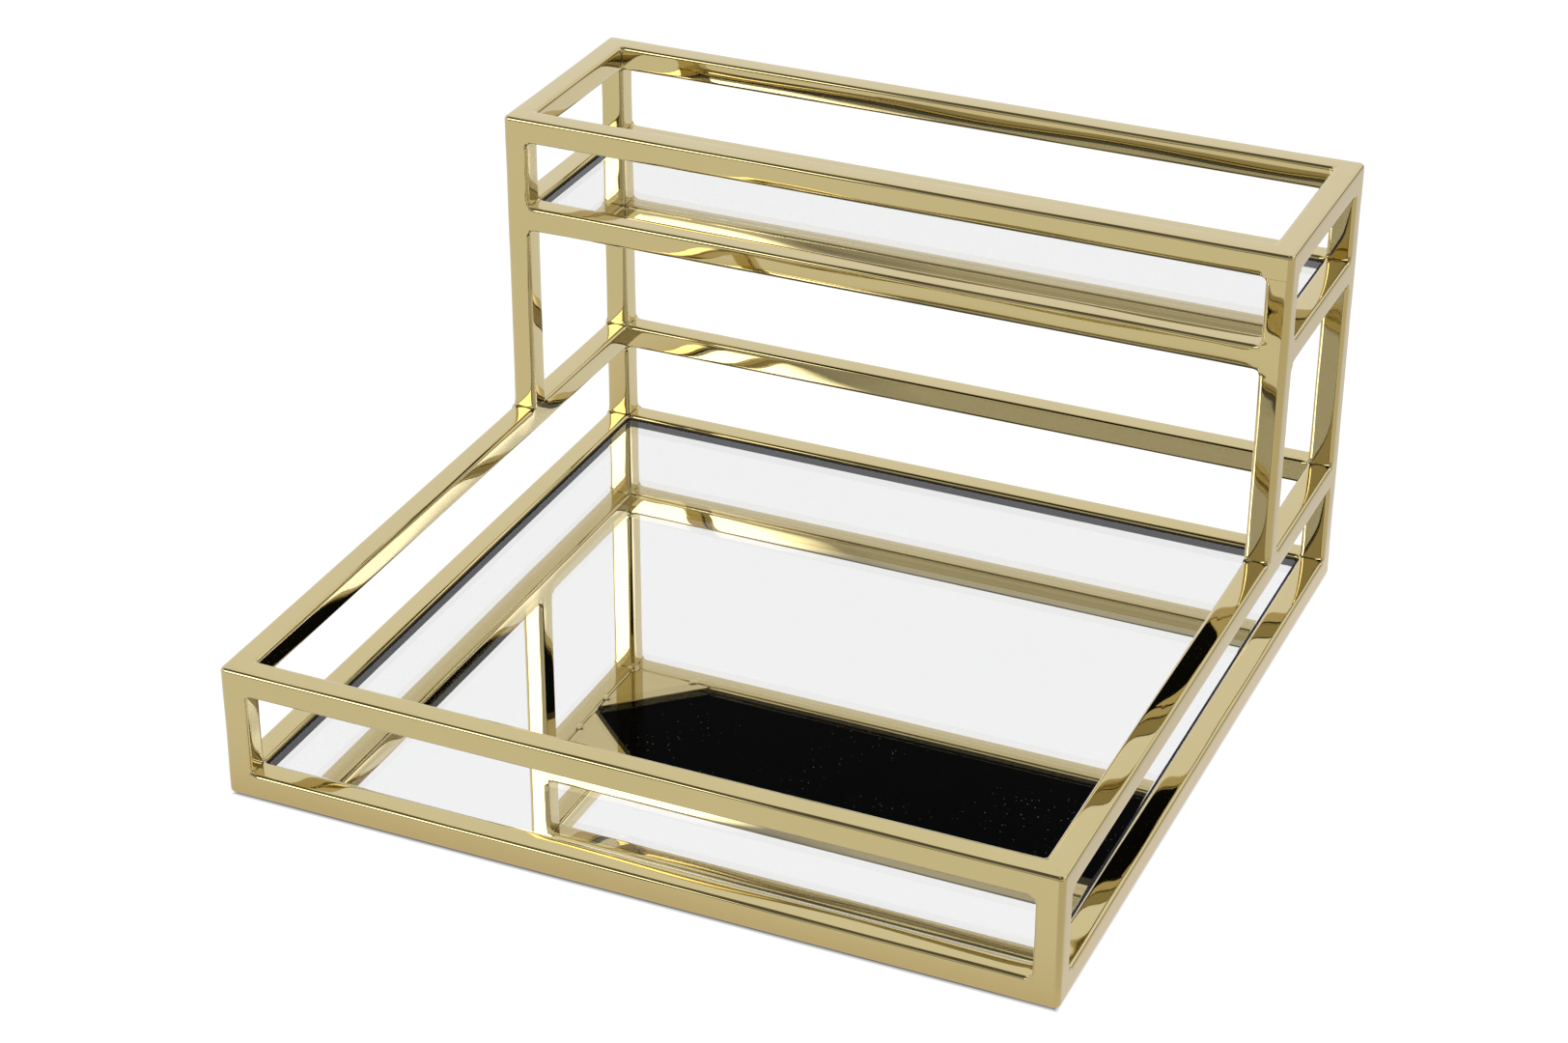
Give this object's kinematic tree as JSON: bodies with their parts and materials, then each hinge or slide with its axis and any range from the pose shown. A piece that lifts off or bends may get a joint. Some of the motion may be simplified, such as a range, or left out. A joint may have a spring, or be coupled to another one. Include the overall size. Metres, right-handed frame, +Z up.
{
  "type": "two-tier vanity tray",
  "caption": "Square gold tube tray with a mirrored deck and a raised mirrored shelf with a gallery across its back.",
  "frame": {"origin": "on the table, under the middle of the tray's box", "axes": "+Z up, front of the tray faces -Y, +X to the right of a person who faces it"},
  "size_m": [0.3, 0.3, 0.169],
  "materials": {
    "gold_tube": "polished",
    "gold_plate": "polished",
    "mirror_glass": "polished",
    "black_board": "gloss",
    "foot_pad": "matte"
  },
  "bodies": {
    "root": {"base_front_rail": "gold_tube", "base_back_rail": "gold_tube", "base_left_rail": "gold_tube", "base_right_rail": "gold_tube", "rim_front_rail": "gold_tube", "rim_left_rail": "gold_tube", "rim_right_rail": "gold_tube", "rim_back_rail": "gold_tube", "front_left_post": "gold_tube", "front_right_post": "gold_tube", "back_left_post": "gold_tube", "back_right_post": "gold_tube", "shelf_left_post": "gold_tube", "shelf_right_post": "gold_tube", "shelf_front_rail": "gold_tube", "shelf_back_rail": "gold_tube", "shelf_left_rail": "gold_tube", "shelf_right_rail": "gold_tube", "gallery_front_rail": "gold_tube", "gallery_back_rail": "gold_tube", "gallery_left_rail": "gold_tube", "gallery_right_rail": "gold_tube", "tray_mirror": "mirror_glass", "shelf_mirror": "mirror_glass", "tray_backing": "black_board", "shelf_backing": "black_board", "tray_gusset_front_left": "gold_plate", "tray_gusset_front_right": "gold_plate", "tray_gusset_back_left": "gold_plate", "tray_gusset_back_right": "gold_plate", "shelf_gusset_front_left": "gold_plate", "shelf_gusset_front_right": "gold_plate", "shelf_gusset_back_left": "gold_plate", "shelf_gusset_back_right": "gold_plate", "foot_pad_front_left": "foot_pad", "foot_pad_front_right": "foot_pad", "foot_pad_back_left": "foot_pad", "foot_pad_back_right": "foot_pad"}
  },
  "joints": []
}
